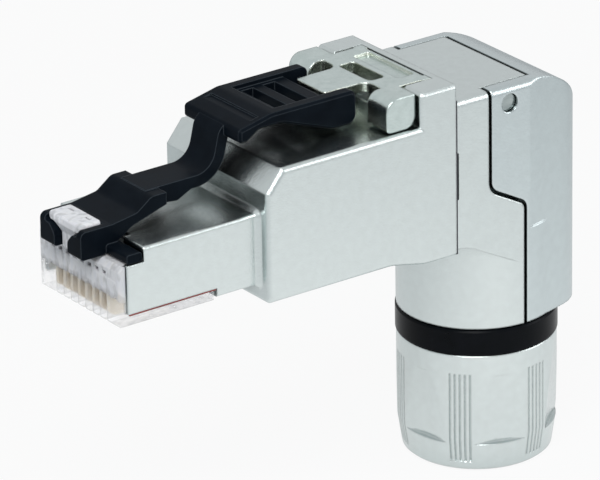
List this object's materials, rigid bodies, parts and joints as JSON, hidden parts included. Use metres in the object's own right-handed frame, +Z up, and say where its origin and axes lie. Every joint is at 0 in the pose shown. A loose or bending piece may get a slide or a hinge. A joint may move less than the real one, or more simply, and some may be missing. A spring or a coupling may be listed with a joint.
{
  "type": "right-angled field plug",
  "caption": "Right-angled shielded network field plug with clear contact nose, black release lever, hinged rear cover and a cable gland pointing down.",
  "frame": {"origin": "middle of the lower front edge of the clear nose, which goes into the socket first", "axes": "+X back along the nose to the rear cover, +Z up to the release lever, the cable outlet points along -Z, Y across"},
  "size_m": [0.0486, 0.0142, 0.0364],
  "materials": {
    "nickel_plated_zinc": "satin nickel plating on a die casting",
    "clip_nickel": "satin nickel plating with a fine cast grain",
    "clear_polycarbonate": "clear, glossy",
    "black_plastic": "satin black",
    "contact_gold": "gold plated, polished",
    "board_laminate": "green solder mask",
    "terminal_plastic": "matte, off-white",
    "terminal_bronze": "tinned bronze",
    "seal_rubber": "matte black",
    "hinge_steel": "turned pin"
  },
  "bodies": {
    "housing": {"front_housing": "nickel_plated_zinc", "plug_body": "clear_polycarbonate", "contact_carrier": "terminal_plastic", "circuit_board": "board_laminate", "idc_block": "terminal_plastic", "wire_manager": "terminal_plastic", "top_clip": "clip_nickel", "middle_housing": "nickel_plated_zinc", "rear_cover": "nickel_plated_zinc", "hinge_pin_near": "hinge_steel", "hinge_pin_far": "hinge_steel", "gland_ring": "seal_rubber", "clamping_cage": "black_plastic", "cable_seal": "seal_rubber", "contact_1": "contact_gold", "idc_contact_1": "terminal_bronze", "contact_2": "contact_gold", "idc_contact_2": "terminal_bronze", "contact_3": "contact_gold", "idc_contact_3": "terminal_bronze", "contact_4": "contact_gold", "idc_contact_4": "terminal_bronze", "contact_5": "contact_gold", "idc_contact_5": "terminal_bronze", "contact_6": "contact_gold", "idc_contact_6": "terminal_bronze", "contact_7": "contact_gold", "idc_contact_7": "terminal_bronze", "contact_8": "contact_gold", "idc_contact_8": "terminal_bronze"},
    "lever": {"release_lever": "black_plastic"},
    "nut": {"union_nut": "nickel_plated_zinc"}
  },
  "joints": [
    {"name": "lever_press", "type": "hinge", "parent": "housing", "child": "lever", "pos_m": [0.00145, 0, 0.0057], "axis": [0, 1, 0], "range_deg": [0, 1.1], "stiffness_Nm_per_rad": 0.5},
    {"name": "nut_turn", "type": "hinge", "parent": "housing", "child": "nut", "pos_m": [0.03935, 0, -0.0175], "axis": [0, 0, 1], "continuous": true}
  ]
}
